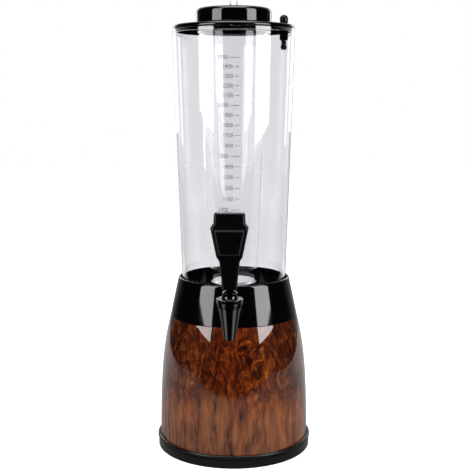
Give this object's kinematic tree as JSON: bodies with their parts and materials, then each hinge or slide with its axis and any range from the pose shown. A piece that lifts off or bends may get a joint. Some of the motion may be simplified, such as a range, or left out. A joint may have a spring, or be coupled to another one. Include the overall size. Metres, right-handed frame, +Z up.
{
  "type": "beer tower dispenser",
  "caption": "Table-top drink tower: wood-look base, clear tapered tank with an ice tube under a black lid, and a black lever tap on the front.",
  "frame": {"origin": "on the floor, on the axis of the tank", "axes": "+Z up along the tank's axis, -Y towards the tap, +X to the right as seen from the front"},
  "size_m": [0.1722, 0.2028, 0.5],
  "materials": {
    "black_gloss": "polished black",
    "black_satin": "satin black",
    "burl_wood_look": "glossy burl wood look",
    "clear_plastic": "clear",
    "black_rubber": "matt",
    "pale_silicone": "satin",
    "steel": "satin"
  },
  "bodies": {
    "tower": {"anti_slip_pad": "black_rubber", "base_cover": "black_gloss", "base_shell": "burl_wood_look", "base_screw_1": "steel", "base_screw_2": "steel", "base_screw_3": "steel", "base_screw_4": "steel", "collar": "black_gloss", "collar_screw_1": "steel", "collar_screw_2": "steel", "collar_screw_3": "steel", "tank_gasket": "black_rubber", "tank": "clear_plastic", "tap_body": "black_gloss", "tap_bonnet": "black_gloss", "flange_washer": "black_rubber", "tank_washer": "black_rubber", "nut_washer": "black_rubber", "tap_nut": "black_satin", "ball_seat": "pale_silicone", "friction_washer": "pale_silicone"},
    "lever": {"tap_lever": "black_satin", "tap_handle": "black_satin"},
    "valve": {"valve_shaft": "steel", "valve_seal": "pale_silicone", "valve_nut": "steel"},
    "lid": {"lid": "black_gloss", "tube_seal": "pale_silicone"},
    "vent": {"vent_plug": "black_rubber"},
    "ice_tube": {"ice_tube": "clear_plastic"},
    "ice_cap": {"tube_cap": "black_gloss", "cap_loop": "steel"}
  },
  "joints": [
    {"name": "lever_pull", "type": "hinge", "parent": "tower", "child": "lever", "pos_m": [0, -0.103, 0.184], "axis": [1, 0, 0], "range_deg": [0, 30]},
    {"name": "valve_slide", "type": "slide", "parent": "tower", "child": "valve", "axis": [0, 1, 0], "range_m": [0, 0.0081]},
    {"name": "lid_lift", "type": "slide", "parent": "tower", "child": "lid", "axis": [0, 0, 1], "range_m": [0, 0.1]},
    {"name": "vent_pull", "type": "slide", "parent": "lid", "child": "vent", "axis": [0, 0, 1], "range_m": [0, 0.0052]},
    {"name": "ice_tube_lift", "type": "slide", "parent": "lid", "child": "ice_tube", "axis": [0, 0, 1], "range_m": [0, 0.15]},
    {"name": "cap_lift", "type": "slide", "parent": "ice_tube", "child": "ice_cap", "axis": [0, 0, 1], "range_m": [0, 0.03]}
  ],
  "couplings": [
    {"joint": "valve_slide", "follows": "lever_pull", "m_per_rad": 0.01528}
  ]
}
